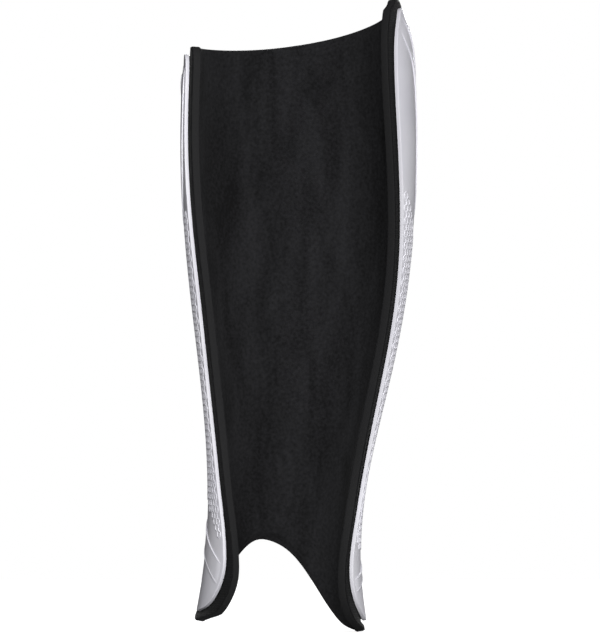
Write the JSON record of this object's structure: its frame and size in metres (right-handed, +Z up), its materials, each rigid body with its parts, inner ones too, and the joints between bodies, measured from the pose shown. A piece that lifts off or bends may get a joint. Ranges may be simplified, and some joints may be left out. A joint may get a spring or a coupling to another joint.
{
  "type": "shin guard",
  "caption": "Hard-shell field sport shin guard for one leg: open-backed moulded shell with a hook-and-loop foam liner, arched over the instep.",
  "frame": {"origin": "on the axis of the leg, level with the lowest point of the guard", "axes": "+Z up the leg to the knee, +Y forward past the shin, +X to the wearer's right; the open side faces -Y"},
  "size_m": [0.1179, 0.0793, 0.3161],
  "materials": {
    "shell_plastic": "white injection-moulded plastic, satin, with raised honeycomb relief on the outside",
    "hook_tape": "black woven hook tape",
    "loop_cloth": "black knitted loop cloth",
    "eva_foam": "black closed-cell foam, smooth die-cut edge",
    "suede_cloth": "black brushed microfibre, short suede nap"
  },
  "bodies": {
    "root": {"shell": "shell_plastic", "hook_pad_knee": "hook_tape", "hook_pad_calf_right": "hook_tape", "hook_pad_calf_left": "hook_tape", "hook_pad_shin": "hook_tape", "hook_pad_ankle_right": "hook_tape", "hook_pad_ankle_left": "hook_tape", "loop_backing": "loop_cloth", "foam_core": "eva_foam", "suede_lining": "suede_cloth"}
  },
  "joints": []
}
